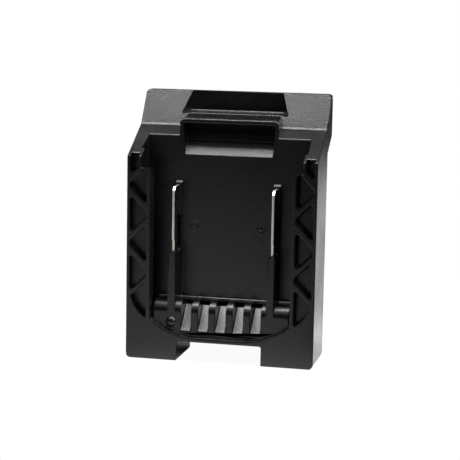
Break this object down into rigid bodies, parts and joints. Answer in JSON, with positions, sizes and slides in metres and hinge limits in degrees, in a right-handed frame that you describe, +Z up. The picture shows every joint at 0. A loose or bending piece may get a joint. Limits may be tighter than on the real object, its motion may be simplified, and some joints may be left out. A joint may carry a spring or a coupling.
{
  "type": "tool battery adapter",
  "caption": "Black moulded adapter with a slide-in battery dock, upright terminal blades and vented sill on the front, and a T-shaped tool shoe with a sprung release catch on the back.",
  "frame": {"origin": "centre of the bounding box's floor, between the two feet", "axes": "+Z up from the feet, -Y out of the battery dock's mouth, +Y out of the tool shoe, +X to the right seen from the dock"},
  "size_m": [0.078, 0.0378, 0.1087],
  "materials": {
    "black_plastic": "fine spark-eroded grain",
    "inner_plastic": "smooth",
    "nickel_plate": "nickel plated, stamped edges",
    "copper_strip": "bare strip",
    "steel": "zinc plated",
    "board": "solder mask"
  },
  "bodies": {
    "adapter": {"dock_housing": "black_plastic", "rear_cover": "black_plastic", "negative_blade": "nickel_plate", "positive_blade": "nickel_plate", "blade_rivets": "steel", "negative_busbar": "copper_strip", "positive_busbar": "copper_strip", "contact_carrier": "inner_plastic", "carrier_screws": "steel", "negative_contact": "nickel_plate", "positive_contact": "nickel_plate", "contact_rivets": "steel", "signal_board": "board", "signal_contact": "nickel_plate", "id_resistor": "inner_plastic", "jumper_link": "copper_strip", "left_return_spring": "steel", "right_return_spring": "steel", "housing_screws": "steel"},
    "release": {"release_slider": "inner_plastic", "release_button": "black_plastic"}
  },
  "joints": [
    {"name": "release_press", "type": "slide", "parent": "adapter", "child": "release", "axis": [0, -1, 0], "range_m": [0, 0.0035], "stiffness_N_per_m": 900, "springref_m": -0.003, "deforming": ["left_return_spring", "right_return_spring"]}
  ]
}
